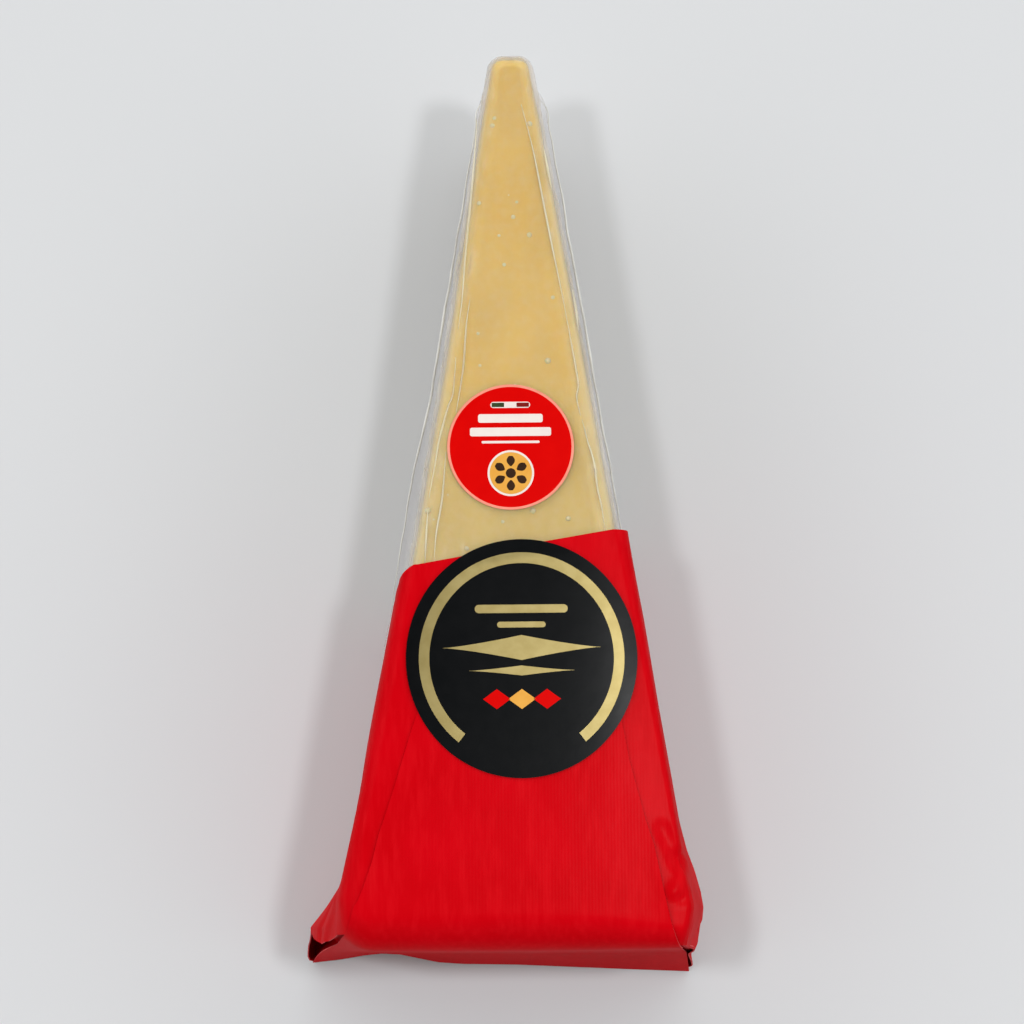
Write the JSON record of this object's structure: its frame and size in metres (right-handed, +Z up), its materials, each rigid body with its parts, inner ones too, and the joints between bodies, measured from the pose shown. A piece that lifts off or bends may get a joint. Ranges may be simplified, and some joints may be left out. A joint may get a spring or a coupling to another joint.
{
  "type": "wedge of hard cheese",
  "caption": "Long narrow wedge of pale yellow hard cheese, sealed in a clear bag, with red paper folded round its rind end and round labels on top.",
  "frame": {"origin": "the middle of the whole's underside, on the surface that the wedge lies on", "axes": "+Y towards the wedge's tip, +Z up through the side that carries the labels"},
  "size_m": [0.1, 0.2306, 0.0926],
  "materials": {
    "cheese": "pale yellow, fine-grained, with lighter edges and small white crystals",
    "film": "clear, glossy, tight, with pleats and a welded seam",
    "red_paper": "satin, finely ribbed, creased at its folds",
    "red_label": "coated, light gloss",
    "black_label": "coated, glossy, with gold foil print"
  },
  "bodies": {
    "root": {"sealed_cheese": "cheese", "paper_wrap": "red_paper", "label_small": "red_label", "label_large": "black_label"}
  },
  "joints": []
}
